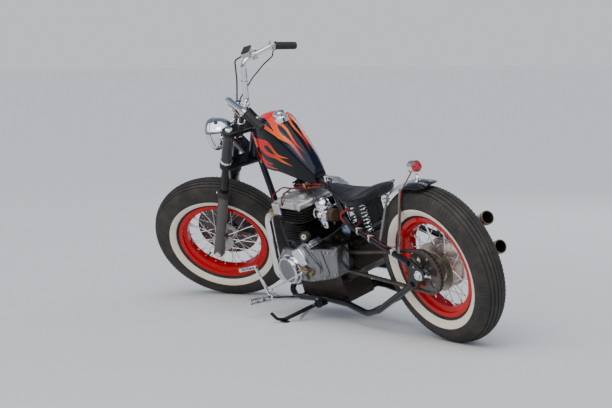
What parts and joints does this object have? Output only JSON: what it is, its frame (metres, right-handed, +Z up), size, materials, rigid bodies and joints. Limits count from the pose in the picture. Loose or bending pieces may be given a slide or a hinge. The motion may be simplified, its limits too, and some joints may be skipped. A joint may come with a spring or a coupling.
{
  "type": "bobber motorcycle",
  "caption": "Rigid-frame bobber motorcycle with a parallel twin engine, steered fork, chain drive, low side pipes and a folding side stand, parked leaning on it.",
  "frame": {"origin": "on the floor, under the middle of the parked machine's bounding box", "axes": "+X along the machine towards the front wheel, +Y to the side that it leans to, +Z up"},
  "size_m": [2.1878, 0.8272, 1.2241],
  "materials": {
    "tyre": "matt",
    "red_steel": "gloss",
    "black_paint": "gloss",
    "flame_paint": "gloss, with flames",
    "chrome": "polished",
    "alloy": "satin",
    "black_alloy": "satin black",
    "brown_alloy": "weathered",
    "steel": "satin",
    "chain": "oiled",
    "mesh": "fine mesh",
    "leather": "satin",
    "rubber": "matt",
    "plastic": "matt",
    "red_lens": "clear red",
    "clear_lens": "clear",
    "cloth_wire": "woven cover"
  },
  "bodies": {
    "frame_body": {"backbone": "black_paint", "downtube": "black_paint", "lower_rails": "black_paint", "upper_rails": "black_paint", "axle_plates": "black_paint", "rear_axle_bolt": "chrome", "cross_tubes": "black_paint", "crankcase": "brown_alloy", "left_cover": "alloy", "right_cover": "alloy", "cylinders": "black_alloy", "cylinder_head": "black_alloy", "rocker_cover": "alloy", "carburettors": "chrome", "air_filters": "mesh", "exhaust_left": "chrome", "exhaust_right": "chrome", "drive_chain": "chain", "front_sprocket": "steel", "fuel_tank": "flame_paint", "fuel_cap": "chrome", "seat": "leather", "seat_springs": "chrome", "battery_box": "plastic", "ignition_switch": "plastic", "ignition_coil": "plastic", "rear_fender": "chrome", "fender_struts": "black_paint", "tail_light": "chrome", "tail_lens": "red_lens", "foot_controls": "chrome", "plug_leads": "cloth_wire", "tail_light_wire": "cloth_wire", "stand_bracket": "black_paint"},
    "fork": {"triple_clamps": "chrome", "fork_tubes": "black_paint", "fork_sliders": "alloy", "front_axle_bolt": "chrome", "brake_caliper": "black_alloy", "headlight": "chrome", "headlight_glass": "clear_lens", "handlebar": "chrome", "risers": "chrome", "grips": "rubber", "hand_controls": "alloy", "brake_hose": "rubber", "throttle_cable": "rubber"},
    "front_wheel": {"front_tyre": "tyre", "front_rim": "red_steel", "front_hub": "alloy", "front_disc": "steel"},
    "rear_wheel": {"rear_tyre": "tyre", "rear_rim": "red_steel", "rear_hub": "alloy", "rear_sprocket": "steel"},
    "side_stand": {"side_stand": "black_paint"}
  },
  "joints": [
    {"name": "steering", "type": "hinge", "parent": "frame_body", "child": "fork", "pos_m": [0.38487, 0.14049, 0.77879], "axis": [0.5352, -0.2637, -0.8025], "range_deg": [0, 77.2]},
    {"name": "front_wheel_spin", "type": "hinge", "parent": "fork", "child": "front_wheel", "pos_m": [0.79139, 0.05203, 0.29642], "axis": [-0.5272, 0.638, -0.5613], "continuous": true},
    {"name": "rear_wheel_spin", "type": "hinge", "parent": "frame_body", "child": "rear_wheel", "pos_m": [-0.75592, -0.00915, 0.32449], "axis": [-0.0002, 0.95, -0.3123], "continuous": true},
    {"name": "stand_fold", "type": "hinge", "parent": "frame_body", "child": "side_stand", "pos_m": [0.0219, 0.04943, 0.07308], "axis": [0.0007, 0.3123, 0.95], "range_deg": [0, 78]}
  ]
}
